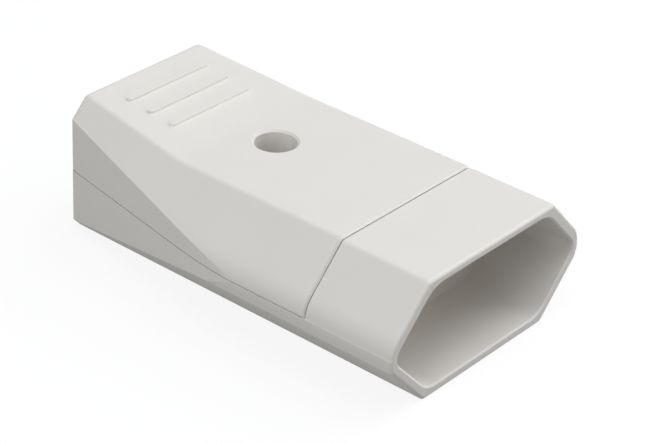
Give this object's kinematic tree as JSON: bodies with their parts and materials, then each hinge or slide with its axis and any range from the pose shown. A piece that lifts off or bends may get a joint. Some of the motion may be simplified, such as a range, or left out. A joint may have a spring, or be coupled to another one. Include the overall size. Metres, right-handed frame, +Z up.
{
  "type": "inline socket connector",
  "caption": "Rewireable inline socket for a cord: two-part white housing with a hexagonal plug recess, pin contacts inside, a screw hole and grip bars on top, and a cord inlet behind.",
  "frame": {"origin": "on the resting face, below the middle of the housing", "axes": "+X along the body, out of the plug mouth; +Y to the line contact's side; +Z up, towards the screw hole"},
  "size_m": [0.064, 0.0412, 0.0208],
  "materials": {
    "housing": "satin moulded plastic, very fine grain",
    "insert": "satin moulded plastic",
    "contact_brass": "stamped, lightly tarnished",
    "spring_steel": "rolled spring steel",
    "plated_steel": "zinc plated",
    "screw_steel": "zinc plated, turned"
  },
  "bodies": {
    "root": {"base_shell": "housing", "top_cover": "housing", "socket_insert": "insert", "line_contact": "contact_brass", "line_contact_spring": "spring_steel", "line_wire_plate": "plated_steel", "line_terminal_screw": "screw_steel", "neutral_contact": "contact_brass", "neutral_contact_spring": "spring_steel", "neutral_wire_plate": "plated_steel", "neutral_terminal_screw": "screw_steel", "earth_contact": "contact_brass", "earth_contact_spring": "spring_steel", "earth_wire_plate": "plated_steel", "earth_terminal_screw": "screw_steel", "cord_clamp": "insert", "clamp_screw_left": "screw_steel", "clamp_screw_right": "screw_steel", "cover_screw": "screw_steel", "cover_nut": "screw_steel"}
  },
  "joints": []
}
